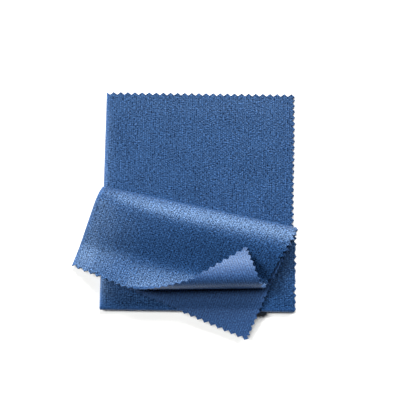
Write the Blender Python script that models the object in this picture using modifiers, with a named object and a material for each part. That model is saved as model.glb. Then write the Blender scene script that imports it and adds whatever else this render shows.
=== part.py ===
"""Microfibre cleaning cloth with a pinked edge, lying folded in quarters.

The cut cloth is folded at its left side and again at its lower side. The front
half of that packet is then turned down on a slant, and the free corner of the
turned-down part is curled up and back. Every layer is one and the same sheet.
"""

import math

import bmesh
import bpy
from mathutils import Matrix, Vector

# The cut cloth, opened out: half its width, and its length behind and before
# the lower fold.
HALF_WIDTH = 0.175
BACK_LENGTH = 0.2024
FRONT_LENGTH = 0.1976
THICKNESS = 0.001

# Pinked edge: points from the middle of a tooth gap to the tip beside it.
STEPS_ACROSS = 53
STEPS_BACK = 71
STEPS_FRONT = 69
TOOTH_DEPTH = 0.0027

# The packet of four layers: half the distance between two neighbouring layers,
# the radius of the lower fold and the height of its axis.
HALF_SPACING = 0.0007
FOLD_RADIUS = 0.0015
FOLD_HEIGHT = 0.0027

# The packet is not quite square. The back half leans in at the top left and is
# pinched on the right, from where it sets in above the lower fold up to where it
# ends; the front half spreads there instead.
BACK_LEAN = -0.0010
BACK_PINCH = 0.0013
FRONT_SPREAD = 0.0006
PINCH_SETS_IN = 0.060
PINCH_ENDS = 0.170
PINCH_FADES = 0.080

# The slanting fold: its angle, and where it crosses the left crease. In section
# the cloth bends tightly at the back, runs over a broad crown and down a slope,
# and lands softly; all of these grow from the left to the right.
SLANT = math.radians(11.6)
SLANT_START = 0.1069
BACK_BEND_LEFT = 0.0036
BACK_BEND_RIGHT = 0.0066
BACK_BEND_GROWTH = 0.8
BACK_BEND_TURN = math.radians(145.0)
CROWN_LEFT = 0.024
CROWN_RIGHT = 0.028
SLOPE_LEFT = math.radians(11.0)
SLOPE_RIGHT = math.radians(21.0)
LANDING_RADIUS = 0.050
RUN_UP = 0.030
TURNED_OVER = math.radians(149.0)
MOST_ALONG = 1.1

# In-plane give of the knitted flap: it swings at the left crease, shortens, its
# two layers slip against each other at the right edge, and the right end of the
# fold is drawn out into a small ear.
SWING = 0.073
SHORTENING_LEFT = 0.076
SHORTENING_RIGHT = 0.044
SLIP_UPPER = -0.0025
SLIP_LOWER = 0.0014
SLIP_SETS_IN = 0.060
EAR = 0.0028
EAR_AT = 0.0116

# The flap swells between the left crease and its middle: by how much, the start
# and length of its rise from the left, the share, start and length of its fall
# towards the right, and the start and length of its rise from the lower edge.
SWELL = 0.0034
SWELL_ACROSS = (-0.014, 0.052)
SWELL_FADES = (0.55, 0.038, 0.090)
SWELL_LENGTHWISE = (-0.034, 0.062)
SWELL_SETS_IN = 0.045

# The curled corner of the upper flap layer: the line of its outline seen from
# above, the rise before it, which is longer on the left, the bend to upright, and
# the roll over to the tip as arcs of (length, turn). The knit is gathered a little
# in the middle of the curl and drawn out towards both of its ends, and the tip
# leans to the left.
CURL_OUTLINE = 0.0163
CURL_OUTLINE_AT = 0.100
CURL_TILT = math.tan(math.radians(1.6))
CURL_RISE = 0.0173
CURL_RISE_TURN = math.radians(25.6)
CURL_RISE_FADE = 1.11
CURL_BEND = 0.0061
CURL_ROLL = (
    (0.0173, math.radians(90.0)),
    (0.0120, math.radians(13.0)),
    (0.0180, math.radians(-7.0)),
)
CURL_GATHERED = 0.872
CURL_DRAWN_OUT = 0.30
CURL_LEAN = 0.023
CURL_REACH_AT = 0.080
CURL_REACH = 0.090

# How the parts of the flap beyond the packet hang down: how far in the end, and
# the distances from the packet's edge at which that starts and is complete.
LEFT_DROOP = (0.0036, 0.002, 0.028)
FRONT_DROOP = (0.0015, 0.003, 0.031)

# Columns of the grid, in steps of the pinked edge from the left crease. They are
# close together where the corner curls. A crease has a few rows or columns of
# its own, as shares of its quarter turn.
LOWER_COLUMNS = (53, 47, 41, 35, 29, 23, 19, 15, 11, 8, 5, 2)
UPPER_COLUMNS = (2, 5, 8, 11, 15, 18, 21, 23, 25, 27, 29) + tuple(range(30, 52))
LEFT_CREASE_SHARES = (-1.0, -0.5, 0.0, 0.5, 1.0)
LOWER_FOLD_SHARES = (-1.0, -0.67, -0.33, 0.0, 0.33, 0.67, 1.0)

# Rows of the grid. Those of the back half are in steps from the lower fold. Those
# of the front half fan out to follow the slanting fold: at the left crease they
# are given as (start, end, how many), and at the side edges in steps.
BACK_ROWS = (71, 63, 55, 46, 37, 28, 19, 11, 3)
FRONT_ROWS_AT_CREASE = (
    (0.0140, 0.1020, 3),
    (0.1020, 0.1135, 9),
    (0.1135, 0.1330, 5),
    (0.1330, 0.1500, 3),
    (0.1500, 0.1920, 17),
    (0.1920, FRONT_LENGTH, 1),
)
FRONT_ROWS_AT_EDGE = (
    (4, 10, 16) + tuple(range(21, 31)) + (32, 34, 36, 38, 40, 42, 45, 47)
    + tuple(range(48, 62)) + (63, 65, 67, STEPS_FRONT)
)

# Slack in comparing places on the opened-out cloth, and in counting steps.
SAME_PLACE = 1e-7
SAME_STEP = 1e-4

CLOTH_BLUE = (0.050, 0.115, 0.260, 1.0)


def within(value, low, high):
    """The value, held between two limits."""
    return min(max(value, low), high)


def eased(value):
    """A soft step from 0 to 1."""
    value = within(value, 0.0, 1.0)
    return value * value * (3.0 - 2.0 * value)


def droop(beyond, depth, start, end):
    """How far the cloth hangs down at a distance beyond the packet's edge."""
    return depth * eased((beyond - start) / (end - start))


def walk(distance, bends):
    """Follow arcs of (length, turn) and then a straight line.

    Returns how far forward and up the walk ends, and its direction there.
    """
    forward = up = heading = 0.0
    for length, turn in bends:
        step = within(distance, 0.0, length)
        swept = turn * step / length
        if swept == 0.0:
            forward += step * math.cos(heading)
            up += step * math.sin(heading)
        else:
            radius = step / swept
            forward += radius * (math.sin(heading + swept) - math.sin(heading))
            up += radius * (math.cos(heading) - math.cos(heading + swept))
        heading += swept
        distance -= step
    rest = max(distance, 0.0)
    return forward + rest * math.cos(heading), up + rest * math.sin(heading), heading


def left_crease(u):
    """Distance from the left crease, and the side the layer lies on.

    The side runs from -1 for the inner layer to +1 for the outer one.
    """
    quarter = HALF_SPACING * math.pi / 2.0
    if abs(u) >= quarter:
        return HALF_SPACING + abs(u) - quarter, -math.copysign(1.0, u)
    angle = u / HALF_SPACING
    return HALF_SPACING * (1.0 - math.cos(angle)), -math.sin(angle)


def curl(x, y, z):
    """Lift the corner past the curl line, and roll it up and over the flap."""
    share = within((x - CURL_REACH_AT) / CURL_REACH, -0.6, MOST_ALONG)
    rise = CURL_RISE * math.exp(-CURL_RISE_FADE * share)
    reach = rise * math.sin(CURL_RISE_TURN) / CURL_RISE_TURN + CURL_BEND * (1.0 - math.sin(CURL_RISE_TURN))
    past = CURL_OUTLINE + (x - CURL_OUTLINE_AT) * CURL_TILT + reach - y
    if past <= 0.0:
        return x, y, z
    upright = math.pi / 2.0 - CURL_RISE_TURN
    bends = ((rise, CURL_RISE_TURN), (CURL_BEND * upright, upright)) + CURL_ROLL
    forward, up, _ = walk(past * (CURL_GATHERED + CURL_DRAWN_OUT * abs(share)), bends)
    return x + (past - forward) * CURL_TILT - past * CURL_LEAN, y + past - forward, z + up


def over_the_arch(over, share):
    """Follow the section of the slanting fold: flat, arch, slope and landing.

    Returns the place and direction on it, and how far past the outline that is.
    """
    radius = BACK_BEND_LEFT + (BACK_BEND_RIGHT - BACK_BEND_LEFT) * share ** BACK_BEND_GROWTH
    crown = CROWN_LEFT + (CROWN_RIGHT - CROWN_LEFT) * share
    slope = SLOPE_LEFT + (SLOPE_RIGHT - SLOPE_LEFT) * share
    drop = radius * (1.0 - math.cos(BACK_BEND_TURN)) + crown * (1.0 + math.cos(BACK_BEND_TURN))
    drop -= (crown + LANDING_RADIUS) * (1.0 - math.cos(slope)) + 4.0 * HALF_SPACING
    over_crown = math.pi + slope - BACK_BEND_TURN
    if over <= -radius:
        return over, 0.0, 0.0, 0.0
    forward, up, heading = walk(over + RUN_UP, (
        (RUN_UP - radius, 0.0),
        (radius * BACK_BEND_TURN, BACK_BEND_TURN),
        (crown * over_crown, over_crown),
        (drop / math.sin(slope), 0.0),
        (LANDING_RADIUS * slope, -slope),
    ))
    return forward - RUN_UP, up, heading, max(over - radius * (math.pi / 2.0 - 1.0), 0.0)


def swell(x, y, past):
    """Height by which the flap swells up between the left crease and its middle."""
    across = eased((x - SWELL_ACROSS[0]) / SWELL_ACROSS[1])
    across -= SWELL_FADES[0] * eased((x - SWELL_FADES[1]) / SWELL_FADES[2])
    lengthwise = eased((y - SWELL_LENGTHWISE[0]) / SWELL_LENGTHWISE[1])
    return SWELL * across * lengthwise * eased(past / SWELL_SETS_IN)


def slanting_fold(x, y, offset, slip):
    """Carry a point of the front half over the slanting fold.

    Returns its place, and whether it has been turned over there.
    """
    along = x * math.cos(SLANT) - (y - SLANT_START) * math.sin(SLANT)
    over = x * math.sin(SLANT) + (y - SLANT_START) * math.cos(SLANT)
    share = within(along / HALF_WIDTH, 0.0, MOST_ALONG)
    forward, up, heading, past = over_the_arch(over, share)
    forward -= offset * math.sin(heading)
    up += offset * math.cos(heading)
    share = min(share, 1.0)
    along += past * SWING * (1.0 - share)
    along += slip * eased(past / SLIP_SETS_IN) * share ** 2
    along += EAR * past / EAR_AT * math.exp(1.0 - past / EAR_AT) * share ** 4
    forward += past * (SHORTENING_RIGHT + (SHORTENING_LEFT - SHORTENING_RIGHT) * (1.0 - share) ** 2)
    x = along * math.cos(SLANT) + forward * math.sin(SLANT)
    y = SLANT_START - along * math.sin(SLANT) + forward * math.cos(SLANT)
    return x, y, FOLD_HEIGHT + FOLD_RADIUS + up + swell(x, y, past), heading > TURNED_OVER


def flap_layer(x, y, offset, upper):
    """A point of the front half in the upper or the lower flap layer."""
    slip = SLIP_UPPER if upper else SLIP_LOWER
    x, y, z, turned = slanting_fold(x, y, offset, slip)
    if not turned:
        return Vector((x, y, z))
    z -= droop(-x, *LEFT_DROOP) + droop(-y, *FRONT_DROOP)
    if upper:
        x, y, z = curl(x, y, z)
    return Vector((x, y, z))


def folded(u, v):
    """Where the point (u, v) of the opened-out cloth lies when folded."""
    x, side = left_crease(u)
    offset = side * HALF_SPACING
    share = min(x / HALF_WIDTH, 1.0)
    radius = FOLD_RADIUS + offset
    quarter = FOLD_RADIUS * math.pi / 2.0
    if v < -quarter:
        y = -v - quarter
        pinch = eased(y / PINCH_SETS_IN) * eased((PINCH_ENDS - y) / PINCH_FADES)
        x -= BACK_PINCH * pinch * share ** 2
        x += BACK_LEAN * y / BACK_LENGTH * (1.0 - share)
        return Vector((x, y, FOLD_HEIGHT - radius))
    if v <= quarter:
        angle = v / FOLD_RADIUS
        return Vector((x, -radius * math.cos(angle), FOLD_HEIGHT + radius * math.sin(angle)))
    y = v - quarter
    x += FRONT_SPREAD * share ** 2 * eased(y / PINCH_SETS_IN)
    inner = flap_layer(x, y, offset, True)
    outer = flap_layer(x, y, offset, False)
    return inner.lerp(outer, (1.0 + side) / 2.0)


def grid_columns():
    """Places of the grid's columns across the opened-out cloth."""
    step = HALF_WIDTH / STEPS_ACROSS
    bend = HALF_SPACING * math.pi / 2.0
    lower = [-step * steps for steps in LOWER_COLUMNS]
    crease = [bend * share for share in LEFT_CREASE_SHARES]
    upper = [step * steps for steps in UPPER_COLUMNS]
    return lower + crease + upper + [HALF_WIDTH]


def grid_rows():
    """Places of the grid's rows at the left crease and at the side edges."""
    bend = FOLD_RADIUS * math.pi / 2.0
    back = [-BACK_LENGTH / STEPS_BACK * steps for steps in BACK_ROWS]
    back += [bend * share for share in LOWER_FOLD_SHARES]
    crease = [FRONT_ROWS_AT_CREASE[0][0]]
    for start, end, count in FRONT_ROWS_AT_CREASE:
        crease += [start + (end - start) * (n + 1) / count for n in range(count)]
    edge = [FRONT_LENGTH / STEPS_FRONT * steps for steps in FRONT_ROWS_AT_EDGE]
    return list(zip(back + crease, back + edge))


def tooth(steps):
    """Depth of the pinked edge a number of steps away from a tip."""
    return TOOTH_DEPTH * abs((steps + 1.0) % 2.0 - 1.0)


def side_steps(v):
    """Steps along a side edge, counted from its corner."""
    if v < 0.0:
        return (1.0 + v / BACK_LENGTH) * STEPS_BACK
    return (1.0 - v / FRONT_LENGTH) * STEPS_FRONT


def lay_out(mesh):
    """Move the grid's points to their places on the opened-out cloth."""
    columns, rows = grid_columns(), grid_rows()
    for point in mesh.verts:
        column = round((point.co.x + 0.5) * (len(columns) - 1))
        row = round((point.co.y + 0.5) * (len(rows) - 1))
        u = columns[column]
        crease, edge = rows[row]
        point.co = (u, crease + (edge - crease) * abs(u) / HALF_WIDTH, 0.0)


def on_side(point):
    """Whether a point lies on one of the two side edges."""
    return abs(abs(point.co.x) - HALF_WIDTH) < SAME_PLACE


def on_end(point):
    """Whether a point lies on the back or the front edge."""
    v = point.co.y
    return v > FRONT_LENGTH - SAME_PLACE or v < SAME_PLACE - BACK_LENGTH


def border_steps(point, sideways):
    """Steps of the pinked edge at a point of a side edge or of the other two."""
    return side_steps(point.co.y) if sideways else point.co.x / HALF_WIDTH * STEPS_ACROSS


def add_tooth_points(mesh):
    """Split the border so that it has a point at every tip and gap.

    The lower fold keeps its own points, so no tooth point comes close to it.
    """
    fold = FOLD_RADIUS * math.pi / 2.0 - SAME_PLACE
    for edge in [edge for edge in mesh.edges if edge.is_boundary]:
        here, last = edge.verts
        sideways = on_side(here) and on_side(last)
        start, end = (border_steps(point, sideways) for point in (here, last))
        sign = 1 if end > start else -1
        start, end = start * sign, end * sign
        step = math.floor(start + SAME_STEP) + 1
        if sideways and (abs(here.co.y) < fold or abs(last.co.y) < fold):
            continue
        while step < end - SAME_STEP:
            edge, here = bmesh.utils.edge_split(edge, here, (step - start) / (end - start))
            edge = next(part for part in here.link_edges if part.other_vert(here) is last)
            start, step = step, step + 1


def cut_teeth(mesh):
    """Draw the border in to the zigzag of the pinked edge."""
    border = {point for edge in mesh.edges if edge.is_boundary for point in edge.verts}
    for point in border:
        u, v = point.co.x, point.co.y
        side, end = on_side(point), on_end(point)
        if side:
            point.co.x -= math.copysign(tooth(side_steps(v)), u)
        if end:
            point.co.y -= math.copysign(tooth(u / HALF_WIDTH * STEPS_ACROSS), v)


def fold_cloth(mesh):
    """Split the laid-out cloth into triangles and fold it."""
    bmesh.ops.triangulate(mesh, faces=mesh.faces[:], quad_method="SHORT_EDGE")
    for point in mesh.verts:
        point.co = folded(point.co.x, point.co.y)
    bmesh.ops.recalc_face_normals(mesh, faces=mesh.faces[:])


def cloth_material():
    """Dull mid-blue knitted microfibre."""
    material = bpy.data.materials.new("blue_microfibre")
    material.use_nodes = True
    shader = material.node_tree.nodes["Principled BSDF"]
    shader.inputs["Base Color"].default_value = CLOTH_BLUE
    shader.inputs["Roughness"].default_value = 0.9
    shader.inputs["Metallic"].default_value = 0.0
    return material


def centre_on_floor(cloth):
    """Put the origin below the middle of the cloth, at floor height."""
    bpy.context.view_layer.update()
    shape = cloth.evaluated_get(bpy.context.evaluated_depsgraph_get())
    corners = [Vector(corner) for corner in shape.bound_box]
    low = [min(corner[axis] for corner in corners) for axis in range(3)]
    high = [max(corner[axis] for corner in corners) for axis in range(3)]
    middle = Vector(((low[0] + high[0]) / 2.0, (low[1] + high[1]) / 2.0, low[2]))
    cloth.data.transform(Matrix.Translation(-middle))


def build_cloth(collection):
    """The whole cloth: one sheet, cut, folded and given its thickness."""
    columns, rows = len(grid_columns()) - 1, len(grid_rows()) - 1
    bpy.ops.mesh.primitive_grid_add(x_subdivisions=columns, y_subdivisions=rows, size=1.0)
    cloth = bpy.context.active_object
    cloth.name = "cloth"
    mesh = bmesh.new()
    mesh.from_mesh(cloth.data)
    lay_out(mesh)
    add_tooth_points(mesh)
    cut_teeth(mesh)
    fold_cloth(mesh)
    mesh.to_mesh(cloth.data)
    mesh.free()
    thicken = cloth.modifiers.new("thickness", "SOLIDIFY")
    thicken.thickness = THICKNESS
    thicken.offset = 0.0
    thicken.use_even_offset = True
    cloth.data.materials.append(cloth_material())
    for home in list(cloth.users_collection):
        home.objects.unlink(cloth)
    collection.objects.link(cloth)
    centre_on_floor(cloth)


for leftover in list(bpy.data.objects):
    bpy.data.objects.remove(leftover, do_unlink=True)

parts = bpy.data.collections.new("microfibre_cloth")
bpy.context.scene.collection.children.link(parts)
build_cloth(parts)
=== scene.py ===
"""Looks of a folded microfibre cloth with a pinked edge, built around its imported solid."""

import math

import bpy
import numpy as np
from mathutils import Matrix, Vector


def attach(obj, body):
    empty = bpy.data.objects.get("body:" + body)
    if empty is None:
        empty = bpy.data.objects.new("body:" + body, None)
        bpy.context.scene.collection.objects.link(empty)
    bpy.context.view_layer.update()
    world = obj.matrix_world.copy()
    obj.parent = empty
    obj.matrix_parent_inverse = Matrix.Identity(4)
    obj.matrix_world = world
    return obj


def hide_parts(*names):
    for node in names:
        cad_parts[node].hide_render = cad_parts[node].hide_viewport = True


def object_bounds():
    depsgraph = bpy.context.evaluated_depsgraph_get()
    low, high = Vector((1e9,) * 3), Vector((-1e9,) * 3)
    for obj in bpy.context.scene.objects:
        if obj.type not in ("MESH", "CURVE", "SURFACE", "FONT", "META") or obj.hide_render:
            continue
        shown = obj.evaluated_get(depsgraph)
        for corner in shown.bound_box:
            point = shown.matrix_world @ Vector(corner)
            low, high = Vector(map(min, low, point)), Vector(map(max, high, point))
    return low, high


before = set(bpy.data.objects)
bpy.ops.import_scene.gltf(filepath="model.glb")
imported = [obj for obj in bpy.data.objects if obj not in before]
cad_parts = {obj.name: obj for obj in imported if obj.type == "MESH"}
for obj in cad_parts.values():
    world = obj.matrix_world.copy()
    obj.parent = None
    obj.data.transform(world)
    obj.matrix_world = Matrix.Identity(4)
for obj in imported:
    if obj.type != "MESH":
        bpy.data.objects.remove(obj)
cad_low, cad_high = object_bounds()


# ----------------------------------------------------------------------------
# The cut cloth
# One rectangle of knitted microfibre, 350 x 400 mm, cut from the roll with
# pinking dies. The zigzag keeps the knit from running, so there is no hem.
# ----------------------------------------------------------------------------

# The back and front parts of its length meet at the lower fold.
CLOTH_WIDTH = 0.350
CLOTH_LENGTH = 0.400
HALF_WIDTH = CLOTH_WIDTH / 2.0
BACK_LENGTH = 0.2024
FRONT_LENGTH = CLOTH_LENGTH - BACK_LENGTH
THICKNESS = 0.0010

# Pinked edge: steps from the middle of a tooth gap to the tip beside it, along
# half the width and along the back and front parts of the length; how deep the
# teeth are, and the width of the strip that is drawn in to make them.
STEPS_ACROSS = 53
STEPS_BACK = 71
STEPS_FRONT = 69
TOOTH_DEPTH = 0.0027
PINKED_STRIP = 0.0066

# Layers of the folded cloth, middle to middle, and the lower fold's radius. Both
# folds have a few columns or rows of their own, as shares of a quarter turn.
LAYER_GAP = 0.0014
FOLD_RADIUS = 0.0015
LEFT_CREASE_SHARES = (-1.0, -0.67, -0.33, 0.0, 0.33, 0.67, 1.0)
LOWER_FOLD_SHARES = (-0.8, -0.6, -0.4, -0.2, 0.0, 0.2, 0.4, 0.6, 0.8, 1.0)

# Rows of the front half fan out to follow the slanting fold: start and end at
# the left crease, start and end in steps at the side edges, and how many rows.
FRONT_ROWS = (
    (0.0040, 0.0180, 1.5, 6, 5),
    (0.0180, 0.1020, 6, 20.5, 13),
    (0.1020, 0.1135, 20.5, 30, 30),
    (0.1135, 0.1330, 30, 40, 20),
    (0.1330, 0.1500, 40, 47, 8),
    (0.1500, 0.1920, 47, 67, 34),
    (0.1920, FRONT_LENGTH, 67, 69, 4),
)


def flat_columns():
    """Places of the columns: half a step apart, and closer in the left crease."""
    bend = LAYER_GAP / 2.0 * math.pi / 2.0
    crease = [bend * share for share in LEFT_CREASE_SHARES]
    right = [HALF_WIDTH / STEPS_ACROSS * n / 2.0 for n in range(1, 2 * STEPS_ACROSS + 1)]
    return np.array([-place for place in reversed(right)] + crease + right)


def flat_rows():
    """Places of the rows at the left crease and at the side edges."""
    bend = FOLD_RADIUS * math.pi / 2.0
    back = [-BACK_LENGTH / STEPS_BACK * n for n in range(STEPS_BACK, 0, -1)]
    fold = [bend * share for share in LOWER_FOLD_SHARES]
    crease, edge = back + fold, back + fold
    step = FRONT_LENGTH / STEPS_FRONT
    for start, end, first, last, count in FRONT_ROWS:
        shares = [n / count for n in range(count)]
        crease += [start + (end - start) * share for share in shares]
        edge += [step * (first + (last - first) * share) for share in shares]
    return np.array(crease + [FRONT_LENGTH]), np.array(edge + [FRONT_LENGTH])


def zigzag(steps):
    """Depth of the pinked edge a number of steps away from a tip, from 0 to 1."""
    return np.abs(np.mod(steps + 1.0, 2.0) - 1.0)


def pinked(u, v):
    """Draw the strip along the border in to the zigzag that the dies cut."""
    back_steps = (1.0 + v / BACK_LENGTH) * STEPS_BACK
    front_steps = (1.0 - v / FRONT_LENGTH) * STEPS_FRONT
    length = np.where(v < 0.0, BACK_LENGTH, FRONT_LENGTH)
    near_side = np.clip(1.0 - (HALF_WIDTH - np.abs(u)) / PINKED_STRIP, 0.0, 1.0)
    near_end = np.clip(1.0 - (length - np.abs(v)) / PINKED_STRIP, 0.0, 1.0)
    inward = TOOTH_DEPTH * near_side * zigzag(np.where(v < 0.0, back_steps, front_steps))
    along = TOOTH_DEPTH * near_end * zigzag(u / HALF_WIDTH * STEPS_ACROSS)
    return u - np.sign(u) * inward, v - np.sign(v) * along


columns = flat_columns()
crease_rows, edge_rows = flat_rows()
bpy.ops.object.select_all(action="DESELECT")
bpy.ops.mesh.primitive_grid_add(
    x_subdivisions=len(columns) - 1, y_subdivisions=len(crease_rows) - 1, size=1.0
)
cloth = bpy.context.active_object
cloth.name = "folded_cloth"
cloth.data.name = "folded_cloth"

# Each point of the 1 m grid gets its column's and row's place on the opened-out
# cloth.
places = np.empty(len(cloth.data.vertices) * 3, np.float64)
cloth.data.vertices.foreach_get("co", places)
places = places.reshape(-1, 3)
column = np.rint((places[:, 0] + 0.5) * (len(columns) - 1)).astype(int)
row = np.rint((places[:, 1] + 0.5) * (len(crease_rows) - 1)).astype(int)
across = columns[column]
fan = np.abs(across) / HALF_WIDTH
lengthwise = crease_rows[row] + (edge_rows[row] - crease_rows[row]) * fan
across, lengthwise = pinked(across, lengthwise)


# ----------------------------------------------------------------------------
# The folds
# The cloth is folded at its left side and again at its lower side, which makes
# a packet of four layers. Its front half is turned down on a slant, and the
# free corner of the upper turned-down layer has curled up and back.
# ----------------------------------------------------------------------------

# Half the distance between two neighbouring layers, and the height of the lower
# fold's axis.
HALF_SPACING = LAYER_GAP / 2.0
FOLD_HEIGHT = 0.0027

# The packet is not quite square. The back half leans in at the top left and is
# pinched on the right, from where it sets in above the lower fold up to where it
# ends; the front half spreads there instead.
BACK_LEAN = -0.0010
BACK_PINCH = 0.0013
FRONT_SPREAD = 0.0006
PINCH_SETS_IN = 0.060
PINCH_ENDS = 0.170
PINCH_FADES = 0.080

# The slanting fold: its angle, and where it crosses the left crease. In section
# the cloth bends tightly at the back, runs over a broad crown and down a slope,
# and lands softly; most of these grow from the left to the right.
SLANT = math.radians(11.6)
SLANT_START = 0.1069
BACK_BEND_LEFT = 0.0036
BACK_BEND_RIGHT = 0.0066
BACK_BEND_GROWTH = 0.8
BACK_BEND_TURN = math.radians(145.0)
CROWN_LEFT = 0.024
CROWN_RIGHT = 0.028
SLOPE_LEFT = math.radians(11.0)
SLOPE_RIGHT = math.radians(21.0)
LANDING_RADIUS = 0.050

# The flat stretch before the fold, the direction past which the cloth counts as
# turned over, and the furthest that the growth goes on, in widths of the packet.
RUN_UP = 0.030
TURNED_OVER = math.radians(149.0)
MOST_ALONG = 1.1

# In-plane give of the knitted flap: it swings at the left crease, shortens, its
# two layers slip against each other at the right edge, and the right end of the
# fold is drawn out into a small ear.
SWING = 0.073
SHORTENING_LEFT = 0.076
SHORTENING_RIGHT = 0.044
SLIP_UPPER = -0.0025
SLIP_LOWER = 0.0014
SLIP_SETS_IN = 0.060
EAR = 0.0028
EAR_AT = 0.0116

# The flap swells between the left crease and its middle: by how much, the start
# and length of its rise from the left, the share, start and length of its fall
# towards the right, and the start and length of its rise from the lower edge.
SWELL = 0.0044
SWELL_ACROSS = (-0.014, 0.052)
SWELL_FADES = (0.55, 0.038, 0.090)
SWELL_LENGTHWISE = (-0.034, 0.062)
SWELL_SETS_IN = 0.045

# The curled corner of the upper flap layer: the line of its outline seen from
# above, the rise before it, which is longer on the left, the bend to upright, and
# the roll over to the tip as arcs of (length, turn). The knit is gathered a little
# in the middle of the curl and drawn out towards both of its ends, and the tip
# leans to the left. Places along the curl are counted from CURL_REACH_AT in lengths
# of CURL_REACH, no further left than CURL_FURTHEST_LEFT.
CURL_OUTLINE = 0.0163
CURL_OUTLINE_AT = 0.100
CURL_TILT = math.tan(math.radians(1.6))
CURL_RISE = 0.0173
CURL_RISE_TURN = math.radians(25.6)
CURL_RISE_FADE = 1.11
CURL_BEND = 0.0061
CURL_ROLL = (
    (0.0173, math.radians(90.0)),
    (0.0120, math.radians(13.0)),
    (0.0180, math.radians(-7.0)),
)
CURL_GATHERED = 0.872
CURL_DRAWN_OUT = 0.30
CURL_LEAN = 0.023
CURL_REACH_AT = 0.080
CURL_REACH = 0.090
CURL_FURTHEST_LEFT = -0.6

# How the parts of the flap beyond the packet hang down: how far in the end, and
# the distances from the packet's edge at which that starts and is complete.
LEFT_DROOP = (0.0036, 0.002, 0.028)
FRONT_DROOP = (0.0015, 0.003, 0.031)


def eased(value):
    """A soft step from 0 to 1."""
    value = np.clip(value, 0.0, 1.0)
    return value * value * (3.0 - 2.0 * value)


def droop(beyond, depth, start, end):
    """How far the cloth hangs down at a distance beyond the packet's edge."""
    return depth * eased((beyond - start) / (end - start))


def walk(distance, bends):
    """Follow arcs of (length, turn) and then a straight line.

    Returns how far forward and up the walk ends, and its direction there.
    """
    forward, up, heading = (np.zeros_like(distance) for _ in range(3))
    for length, turn in bends:
        step = np.clip(distance, 0.0, length)
        half_turn = turn * step / length / 2.0
        chord = step * np.sinc(half_turn / math.pi)
        forward += chord * np.cos(heading + half_turn)
        up += chord * np.sin(heading + half_turn)
        heading += 2.0 * half_turn
        distance = distance - step
    return forward + distance * np.cos(heading), up + distance * np.sin(heading), heading


def left_crease(u):
    """Distance from the left crease, and the side the layer lies on, -1 to +1."""
    quarter = HALF_SPACING * math.pi / 2.0
    angle = np.clip(u / HALF_SPACING, -math.pi / 2.0, math.pi / 2.0)
    beyond = np.maximum(np.abs(u) - quarter, 0.0)
    return HALF_SPACING * (1.0 - np.cos(angle)) + beyond, -np.sin(angle)


def curl(x, y, z, turned):
    """Lift the corner past the curl line, and roll it up and over the flap."""
    share = np.clip((x - CURL_REACH_AT) / CURL_REACH, CURL_FURTHEST_LEFT, MOST_ALONG)
    rise = CURL_RISE * np.exp(-CURL_RISE_FADE * share)
    sine = math.sin(CURL_RISE_TURN)
    reach = rise * sine / CURL_RISE_TURN + CURL_BEND * (1.0 - sine)
    line = CURL_OUTLINE + (x - CURL_OUTLINE_AT) * CURL_TILT + reach
    past = np.where(turned, np.maximum(line - y, 0.0), 0.0)
    upright = math.pi / 2.0 - CURL_RISE_TURN
    bends = ((rise, CURL_RISE_TURN), (CURL_BEND * upright, upright)) + CURL_ROLL
    forward, up, _ = walk(past * (CURL_GATHERED + CURL_DRAWN_OUT * abs(share)), bends)
    return x + (past - forward) * CURL_TILT - past * CURL_LEAN, y + past - forward, z + up


def over_the_arch(over, share):
    """Follow the section of the slanting fold: flat, arch, slope and landing.

    Returns the place and direction on it, and how far past the outline that is.
    """
    radius = BACK_BEND_LEFT + (BACK_BEND_RIGHT - BACK_BEND_LEFT) * share ** BACK_BEND_GROWTH
    crown = CROWN_LEFT + (CROWN_RIGHT - CROWN_LEFT) * share
    slope = SLOPE_LEFT + (SLOPE_RIGHT - SLOPE_LEFT) * share
    drop = radius * (1.0 - math.cos(BACK_BEND_TURN)) + crown * (1.0 + math.cos(BACK_BEND_TURN))
    drop -= (crown + LANDING_RADIUS) * (1.0 - np.cos(slope)) + 2.0 * LAYER_GAP
    over_crown = math.pi + slope - BACK_BEND_TURN
    forward, up, heading = walk(np.maximum(over + RUN_UP, 0.0), (
        (RUN_UP - radius, 0.0),
        (radius * BACK_BEND_TURN, BACK_BEND_TURN),
        (crown * over_crown, over_crown),
        (drop / np.sin(slope), 0.0),
        (LANDING_RADIUS * slope, -slope),
    ))
    forward += np.minimum(over + RUN_UP, 0.0) - RUN_UP
    return forward, up, heading, np.maximum(over - radius * (math.pi / 2.0 - 1.0), 0.0)


def swell(x, y, past):
    """Height by which the flap swells up between the left crease and its middle."""
    across = eased((x - SWELL_ACROSS[0]) / SWELL_ACROSS[1])
    across = across - SWELL_FADES[0] * eased((x - SWELL_FADES[1]) / SWELL_FADES[2])
    lengthwise = eased((y - SWELL_LENGTHWISE[0]) / SWELL_LENGTHWISE[1])
    return SWELL * across * lengthwise * eased(past / SWELL_SETS_IN)


def slanting_fold(x, y, offset, slip):
    """Carry the front half over the slanting fold: place, and whether turned over."""
    along = x * math.cos(SLANT) - (y - SLANT_START) * math.sin(SLANT)
    over = x * math.sin(SLANT) + (y - SLANT_START) * math.cos(SLANT)
    share = np.clip(along / HALF_WIDTH, 0.0, MOST_ALONG)
    forward, up, heading, past = over_the_arch(over, share)
    forward -= offset * np.sin(heading)
    up += offset * np.cos(heading)
    share = np.minimum(share, 1.0)
    along = along + past * SWING * (1.0 - share)
    along += slip * eased(past / SLIP_SETS_IN) * share ** 2
    along += EAR * past / EAR_AT * np.exp(1.0 - past / EAR_AT) * share ** 4
    forward += past * (SHORTENING_RIGHT + (SHORTENING_LEFT - SHORTENING_RIGHT) * (1.0 - share) ** 2)
    x = along * math.cos(SLANT) + forward * math.sin(SLANT)
    y = SLANT_START - along * math.sin(SLANT) + forward * math.cos(SLANT)
    z = FOLD_HEIGHT + FOLD_RADIUS + up + swell(x, y, past)
    return x, y, z, heading > TURNED_OVER


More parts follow.
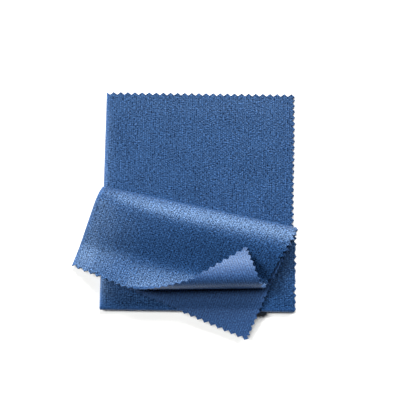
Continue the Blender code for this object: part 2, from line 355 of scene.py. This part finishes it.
def flap_layer(x, y, offset, upper):
    """Places of the front half in the upper or the lower flap layer."""
    slip = SLIP_UPPER if upper else SLIP_LOWER
    x, y, z, turned = slanting_fold(x, y, offset, slip)
    z -= np.where(turned, droop(-x, *LEFT_DROOP) + droop(-y, *FRONT_DROOP), 0.0)
    if upper:
        x, y, z = curl(x, y, z, turned)
    return x, y, z


def folded(u, v):
    """Places of the opened-out cloth's points when it is folded.

    Returns also the side of its pair of layers that each point lies on, and
    whether it belongs to the front half.
    """
    x, side = left_crease(u)
    offset = side * HALF_SPACING
    share = np.minimum(x / HALF_WIDTH, 1.0)
    radius = FOLD_RADIUS + offset
    quarter = FOLD_RADIUS * math.pi / 2.0
    angle = np.clip(v / FOLD_RADIUS, -math.pi / 2.0, math.pi / 2.0)

    y_back = np.maximum(-v - quarter, 0.0)
    pinch = eased(y_back / PINCH_SETS_IN) * eased((PINCH_ENDS - y_back) / PINCH_FADES)
    x_back = x - BACK_PINCH * pinch * share ** 2 + BACK_LEAN * y_back / BACK_LENGTH * (1.0 - share)
    y = -radius * np.cos(angle) + y_back
    z = FOLD_HEIGHT + radius * np.sin(angle)

    y_front = np.maximum(v - quarter, 0.0)
    x_front = x + FRONT_SPREAD * share ** 2 * eased(y_front / PINCH_SETS_IN)
    upper_layer = flap_layer(x_front, y_front, offset, True)
    lower_layer = flap_layer(x_front, y_front, offset, False)
    lower = (1.0 + side) / 2.0
    front = [a + (b - a) * lower for a, b in zip(upper_layer, lower_layer)]
    is_front = v > quarter
    return (
        np.where(is_front, front[0], x_back),
        np.where(is_front, front[1], y),
        np.where(is_front, front[2], z),
        side,
        is_front,
    )


# Soft cloth fills out between its folds. Every layer above the lowest one rises
# away from the left crease and the lower fold, and sinks to a share of that over
# the last stretch before the open edges.
LOFT_BACK = 0.0014
LOFT_FRONT = 0.0020
LOFT_FROM_CREASE = 0.0060
LOFT_FROM_FOLD = 0.0090
LOFT_AT_EDGE = 0.6
EDGE_SINKS = 0.030

# The turned-down flap begins 100 mm up the front half, over a stretch of 25 mm.
# It rises further than the packet, from 40 mm beyond the left crease on, over a
# stretch of 56 mm, and sinks a little where it has not risen yet.
FLAP_STARTS = (0.100, 0.025)
FLAP_RISES = (-0.040, 0.056)
LOFT_FLAP = 0.0030
FLAP_SINKS = 0.0018


def filled_out(x, y, on_flap, flap_rise):
    """Share of the loft at a place on the packet, from 0 at its folds to 1."""
    rise = 1.0 - np.exp(-np.maximum(x, 0.0) / LOFT_FROM_CREASE)
    rise += (flap_rise - rise) * on_flap
    rise = rise * (1.0 - np.exp(-np.maximum(y, 0.0) / LOFT_FROM_FOLD))
    edge = eased((HALF_WIDTH - x) / EDGE_SINKS) * eased((BACK_LENGTH - y) / EDGE_SINKS)
    return rise * (LOFT_AT_EDGE + (1.0 - LOFT_AT_EDGE) * edge)


x, y, z, side, is_front = folded(across, lengthwise)
on_flap = eased((lengthwise - FLAP_STARTS[0]) / FLAP_STARTS[1])
flap_rise = eased((x - FLAP_RISES[0]) / FLAP_RISES[1])
front_loft = LOFT_FRONT + (LOFT_FLAP - LOFT_FRONT) * on_flap
loft = np.where(is_front, front_loft, LOFT_BACK * (1.0 - side) / 2.0)
z = z + loft * filled_out(x, y, on_flap, flap_rise)
z = z - FLAP_SINKS * on_flap * (1.0 - flap_rise)

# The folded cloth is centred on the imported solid, with its underside at height 0.
points = np.stack([x, y, z], axis=1)
box_middle = (points.min(axis=0) + points.max(axis=0)) / 2.0
frame_middle = (cad_low + cad_high) / 2.0
points[:, 0] += frame_middle.x - box_middle[0]
points[:, 1] += frame_middle.y - box_middle[1]
points[:, 2] += THICKNESS / 2.0 - points[:, 2].min()
cloth.data.vertices.foreach_set("co", points.astype(np.float32).ravel())

# The knit's pattern follows the cut cloth: the UV map holds its flat places, in
# metres from the crossing of its two fold lines.
flat_map = cloth.data.uv_layers.active
flat_map.name = "flat_cloth"
corner_points = np.empty(len(cloth.data.loops), np.int32)
cloth.data.loops.foreach_get("vertex_index", corner_points)
flat_places = np.stack([across, lengthwise], axis=1)[corner_points]
flat_map.data.foreach_set("uv", flat_places.astype(np.float32).ravel())

# The thickness gives the other face of the knit the second material, and the cut
# edge the third.
thicken = cloth.modifiers.new("thickness", "SOLIDIFY")
thicken.thickness = THICKNESS
thicken.offset = 0.0
thicken.use_even_offset = True
thicken.material_offset = 1
thicken.material_offset_rim = 2


# ----------------------------------------------------------------------------
# The knit's two faces and its cut edge
# Warp-knitted polyester and polyamide microfibre. The outer face has fine loops
# raised and brushed into a short pile; the inner face is the smooth technical
# back with its fine ribs. The dies leave a soft, fibrous edge.
# ----------------------------------------------------------------------------


def srgb(code):
    """Linear colour of an sRGB hex value."""
    parts = [int(code[n:n + 2], 16) / 255.0 for n in (0, 2, 4)]
    return tuple(c / 12.92 if c <= 0.04045 else ((c + 0.055) / 1.055) ** 2.4 for c in parts) + (1.0,)


def add(tree, kind, inputs, stops=(), **settings):
    """Add a shader node with its settings, values, links and colour stops."""
    made = tree.nodes.new("ShaderNode" + kind)
    for name, value in settings.items():
        setattr(made, name, value)
    for socket, value in inputs.items():
        if isinstance(value, bpy.types.NodeSocket):
            tree.links.new(value, made.inputs[socket])
        else:
            made.inputs[socket].default_value = value
    for _ in stops[2:]:
        made.color_ramp.elements.new(0.5)
    for number, (place, code) in enumerate(stops):
        made.color_ramp.elements[number].position = place
        made.color_ramp.elements[number].color = srgb(code)
    return made


def knit_tree(name):
    """A new material, its node tree and the flat places on the cloth in mm."""
    material = bpy.data.materials.new(name)
    material.use_nodes = True
    tree = material.node_tree
    tree.nodes.clear()
    flat = add(tree, "UVMap", {}, uv_map="flat_cloth")
    in_mm = add(tree, "VectorMath", {0: flat.outputs["UV"], "Scale": 1000.0}, operation="SCALE")
    return material, tree, in_mm.outputs["Vector"]


# A wave texture at scale 1 repeats after this distance.
WAVE_PERIOD = 0.31416

# Loops of the brushed face, drawn about twice as coarse as the real ones, which
# are too fine to show: wales 2 mm apart, and pits between the loops that are
# nearly twice as wide as they are long. The nap is clouded in patches of about
# 24 mm. The pile's height is mostly the pits', with a little of the other two.
WALE_MM = 2.0
PIT_MM = (1.8, 1.0)
CLOUD_MM = 24.0
PIT_SHARE = 0.86
WALE_SHARE = 0.07
CLOUD_SHARE = 0.07
PILE_RELIEF = 0.0004

# Wear: the pile is rubbed paler, in patches, along the two lines on which the
# cloth is kept folded: most within the first distance from them, and not at all
# past the second.
RUBBED_MM = (0.8, 5.0)
MOST_RUBBED = 0.8

# The tops of the loops shine and the pits stay dull, between these pile heights.
DULL_AND_GLOSSY_AT = (0.34, 0.66)
DULL_AND_GLOSSY = (0.12, 0.88)


def brushed_loop_face():
    """Short mid-blue pile: dark pits between loops whose tops have a pale gloss.

    To the eye it is a fine, slightly uneven grain with a soft sheen on the bends.
    """
    material, tree, mm = knit_tree("brushed_loop_microfibre")
    in_pits = add(tree, "VectorMath", {
        0: mm, 1: (1.0 / PIT_MM[0], 1.0 / PIT_MM[1], 1.0),
    }, operation="MULTIPLY")
    pits = add(tree, "TexNoise", {
        "Vector": in_pits.outputs["Vector"], "Scale": 1.0,
        "Detail": 2.0, "Roughness": 0.65, "Distortion": 0.4,
    }, noise_dimensions="2D")
    wales = add(tree, "TexWave", {
        "Vector": mm, "Scale": WAVE_PERIOD / WALE_MM,
        "Distortion": 0.5, "Detail": 1.0, "Detail Scale": 0.6,
    }, bands_direction="X")
    cloud = add(tree, "TexNoise", {
        "Vector": mm, "Scale": 1.0 / CLOUD_MM, "Detail": 3.0,
    }, noise_dimensions="2D")
    pile = add(tree, "Math", {0: pits.outputs["Fac"], 1: PIT_SHARE}, operation="MULTIPLY")
    for part, share in ((wales, WALE_SHARE), (cloud, CLOUD_SHARE)):
        pile = add(tree, "Math", {
            0: part.outputs["Fac"], 1: share, 2: pile.outputs["Value"],
        }, operation="MULTIPLY_ADD")
    blue = add(tree, "ValToRGB", {"Fac": pile.outputs["Value"]}, stops=(
        (0.30, "030b18"), (0.42, "11284a"), (0.53, "18365b"), (0.71, "2c558c"),
    ))

    off_folds = add(tree, "VectorMath", {0: mm}, operation="ABSOLUTE")
    off_folds = add(tree, "SeparateXYZ", {"Vector": off_folds.outputs["Vector"]})
    nearest = add(tree, "Math", {
        0: off_folds.outputs["X"], 1: off_folds.outputs["Y"],
    }, operation="MINIMUM")
    rubbed = add(tree, "MapRange", {
        "Value": nearest.outputs["Value"], "From Min": RUBBED_MM[0], "From Max": RUBBED_MM[1],
        "To Min": MOST_RUBBED, "To Max": 0.0,
    }, interpolation_type="SMOOTHSTEP")
    rubbed = add(tree, "Math", {
        0: rubbed.outputs["Result"], 1: cloud.outputs["Fac"],
    }, operation="MULTIPLY")
    blue = add(tree, "Mix", {
        "Factor": rubbed.outputs["Value"], "A": blue.outputs["Color"], "B": srgb("2f558c"),
    }, data_type="RGBA")

    gloss = add(tree, "MapRange", {
        "Value": pile.outputs["Value"],
        "From Min": DULL_AND_GLOSSY_AT[0], "From Max": DULL_AND_GLOSSY_AT[1],
        "To Min": DULL_AND_GLOSSY[0], "To Max": DULL_AND_GLOSSY[1],
    })
    relief = add(tree, "Bump", {
        "Height": pile.outputs["Value"], "Strength": 0.7, "Distance": PILE_RELIEF,
    })
    shader = add(tree, "BsdfPrincipled", {
        "Base Color": blue.outputs["Result"], "Roughness": 0.39,
        "Specular IOR Level": gloss.outputs["Result"], "Specular Tint": srgb("b8daff"),
        "Sheen Weight": 0.05, "Sheen Roughness": 0.35, "Sheen Tint": srgb("9cc0f4"),
        "Normal": relief.outputs["Normal"],
    })
    add(tree, "OutputMaterial", {"Surface": shader.outputs["BSDF"]})
    return material


# Ribs of the smooth face, along the wales, and the grain of its filaments. Both
# are drawn coarser than the real ones, which are too fine to show: ribs 2 mm and
# grains about 1.4 mm apart. The grain counts for more than the ribs.
RIB_MM = 2.0
GRAINS_PER_MM = 0.7
RIB_SHARE = 0.14
GRAIN_SHARE = 0.86
RIB_RELIEF = 0.0003


def ribbed_back_face():
    """Smooth technical back of the knit, with faint ribs and an even, soft gloss.

    To the eye it is a paler and greyer blue than the pile, and smoother.
    """
    material, tree, mm = knit_tree("ribbed_back_microfibre")
    ribs = add(tree, "TexWave", {
        "Vector": mm, "Scale": WAVE_PERIOD / RIB_MM,
        "Distortion": 0.8, "Detail": 1.0, "Detail Scale": 0.5,
    }, bands_direction="X")
    grain = add(tree, "TexNoise", {
        "Vector": mm, "Scale": GRAINS_PER_MM, "Detail": 2.0, "Roughness": 0.6,
    }, noise_dimensions="2D")
    weave = add(tree, "Math", {0: ribs.outputs["Fac"], 1: RIB_SHARE}, operation="MULTIPLY")
    weave = add(tree, "Math", {
        0: grain.outputs["Fac"], 1: GRAIN_SHARE, 2: weave.outputs["Value"],
    }, operation="MULTIPLY_ADD")
    blue = add(tree, "ValToRGB", {"Fac": weave.outputs["Value"]}, stops=(
        (0.28, "112444"), (0.5, "223e68"), (0.72, "345684"),
    ))
    relief = add(tree, "Bump", {
        "Height": weave.outputs["Value"], "Strength": 0.6, "Distance": RIB_RELIEF,
    })
    shader = add(tree, "BsdfPrincipled", {
        "Base Color": blue.outputs["Color"], "Roughness": 0.44,
        "Specular IOR Level": 0.6, "Specular Tint": srgb("d2e6ff"),
        "Sheen Weight": 0.03, "Sheen Roughness": 0.35, "Sheen Tint": srgb("b4cdf2"),
        "Normal": relief.outputs["Normal"],
    })
    add(tree, "OutputMaterial", {"Surface": shader.outputs["BSDF"]})
    return material


# Ends of the filaments in the cut edge, in tufts about 0.6 mm apart.
TUFTS_PER_MM = 1.6


def cut_edge():
    """Fibrous cut edge: dull ends of the filaments, a little paler than the pile."""
    material, tree, mm = knit_tree("cut_microfibre_edge")
    tufts = add(tree, "TexNoise", {
        "Vector": mm, "Scale": TUFTS_PER_MM, "Detail": 3.0,
    }, noise_dimensions="3D")
    blue = add(tree, "ValToRGB", {"Fac": tufts.outputs["Fac"]}, stops=(
        (0.35, "223a5e"), (0.65, "365682"),
    ))
    shader = add(tree, "BsdfPrincipled", {
        "Base Color": blue.outputs["Color"], "Roughness": 0.7, "Specular IOR Level": 0.2,
        "Sheen Weight": 0.3, "Sheen Roughness": 0.4, "Sheen Tint": srgb("a9c6f2"),
    })
    add(tree, "OutputMaterial", {"Surface": shader.outputs["BSDF"]})
    return material


for material in (ribbed_back_face(), brushed_loop_face(), cut_edge()):
    cloth.data.materials.append(material)

# Bends sharper than this stay sharp: those of the cut edge, and a few on the inside
# of the tight left crease.
SHARP_BEND = math.radians(60.0)

bpy.context.view_layer.objects.active = cloth
bpy.ops.object.modifier_apply(modifier=thicken.name)
cloth.data.shade_smooth()
cloth.data.set_sharp_from_angle(angle=SHARP_BEND)

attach(cloth, "root")
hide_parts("cloth")


# ----------------------------------------------------------------------------
# The studio
# A plain white table top, drawn so wide that no view shows its end, for a picture
# taken almost from above. Three far soft lights stand round it: one at the left,
# the strongest at the back, and a weak one at the back right.
# ----------------------------------------------------------------------------

# The top lies a hair below the cloth, so that the two never share a surface.
TABLE_WIDTH = 120.0
TABLE_HEIGHT = -0.0002

bpy.ops.object.select_all(action="DESELECT")
bpy.ops.mesh.primitive_plane_add(size=TABLE_WIDTH, location=(0.0, 0.0, TABLE_HEIGHT))
table = bpy.context.active_object
table.name = "white_table"
white = bpy.data.materials.new("white_laminate")
white.use_nodes = True
white.node_tree.nodes["Principled BSDF"].inputs["Base Color"].default_value = srgb("f6f6f4")
white.node_tree.nodes["Principled BSDF"].inputs["Roughness"].default_value = 0.6
table.data.materials.append(white)

# Each light's turn from +X towards +Y and its height, in degrees; its strength;
# and how wide it looks from the cloth, in degrees, which makes it soft.
LIGHTS = (
    ("left", 165.0, 40.0, 4.7, 21.0),
    ("back", 78.0, 32.0, 5.35, 33.0),
    ("back_right", 46.0, 27.0, 1.7, 19.0),
)
SKY_STRENGTH = 0.02


def towards(turn, height):
    """Direction from the cloth to something at a turn from +X and a height."""
    return Vector((
        math.cos(height) * math.cos(turn),
        math.cos(height) * math.sin(turn),
        math.sin(height),
    ))


for name, turn, height, strength, width in LIGHTS:
    bpy.ops.object.light_add(type="SUN")
    lamp = bpy.context.active_object
    lamp.name = name
    lamp.data.energy = strength
    lamp.data.angle = math.radians(width)
    away = towards(math.radians(turn), math.radians(height))
    lamp.rotation_euler = away.to_track_quat("Z", "Y").to_euler()

world = bpy.data.worlds.new("studio")
world.use_nodes = True
world.node_tree.nodes["Background"].inputs["Color"].default_value = srgb("ffffff")
world.node_tree.nodes["Background"].inputs["Strength"].default_value = SKY_STRENGTH
bpy.context.scene.world = world
bpy.context.scene.view_settings.view_transform = "Standard"

# The camera stands almost over the cloth, a little to the front, and looks down
# at 79.5 degrees on a point just right of the middle.
VIEW_HEIGHT = math.radians(79.5)
VIEW_TURN = math.radians(0.77)
VIEW_DISTANCE = 0.7388
VIEW_TARGET = Vector((0.02055, 0.00498, 0.0))
LENS_MM = 69.93

bpy.ops.object.camera_add()
camera = bpy.context.active_object
camera.name = "camera"
camera.data.lens = LENS_MM
away = towards(VIEW_TURN - math.pi / 2.0, VIEW_HEIGHT)
camera.location = VIEW_TARGET + away * VIEW_DISTANCE
camera.rotation_euler = away.to_track_quat("Z", "Y").to_euler()
bpy.context.scene.camera = camera
